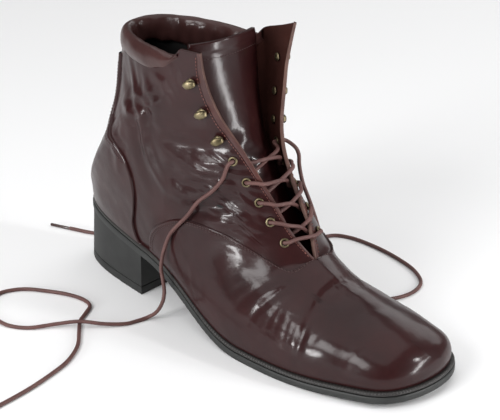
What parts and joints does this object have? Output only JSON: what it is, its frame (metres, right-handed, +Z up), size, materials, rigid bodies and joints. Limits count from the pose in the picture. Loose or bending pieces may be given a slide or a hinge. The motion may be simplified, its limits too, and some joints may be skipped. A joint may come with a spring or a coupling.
{
  "type": "lace-up ankle boot",
  "caption": "Burgundy leather lace-up ankle boot for the right foot, with a padded collar, speed hooks, brass eyelets, loose lace ends and a low block heel.",
  "frame": {"origin": "centre of the heel's tread face, on the floor", "axes": "+X from heel to toe, +Y to the inner side of the foot, +Z up"},
  "size_m": [0.3265, 0.3279, 0.1859],
  "materials": {
    "upper_leather": "gloss",
    "pad_leather": "gloss",
    "insole_leather": "matte",
    "sole_rubber": "satin",
    "heel_rubber": "satin",
    "welt_strip": "satin",
    "brass": "aged",
    "lace": "waxed",
    "aglet": "clear"
  },
  "bodies": {
    "root": {"aglet_far": "aglet", "aglet_near": "aglet", "collar_pad": "pad_leather", "counter": "upper_leather", "eyelet_far_1": "brass", "eyelet_far_2": "brass", "eyelet_far_3": "brass", "eyelet_far_4": "brass", "eyelet_far_5": "brass", "eyelet_near_1": "brass", "eyelet_near_2": "brass", "eyelet_near_3": "brass", "eyelet_near_4": "brass", "eyelet_near_5": "brass", "heel_block": "heel_rubber", "hook_far_1": "brass", "hook_far_2": "brass", "hook_far_3": "brass", "hook_near_1": "brass", "hook_near_2": "brass", "hook_near_3": "brass", "insole": "insole_leather", "lace_bar": "lace", "lace_cross_1": "lace", "lace_cross_2": "lace", "lace_cross_3": "lace", "lace_cross_4": "lace", "lace_end_far": "lace", "lace_end_near": "lace", "outsole": "sole_rubber", "tongue": "upper_leather", "top_lift": "heel_rubber", "upper": "upper_leather", "welt": "welt_strip"}
  },
  "joints": []
}
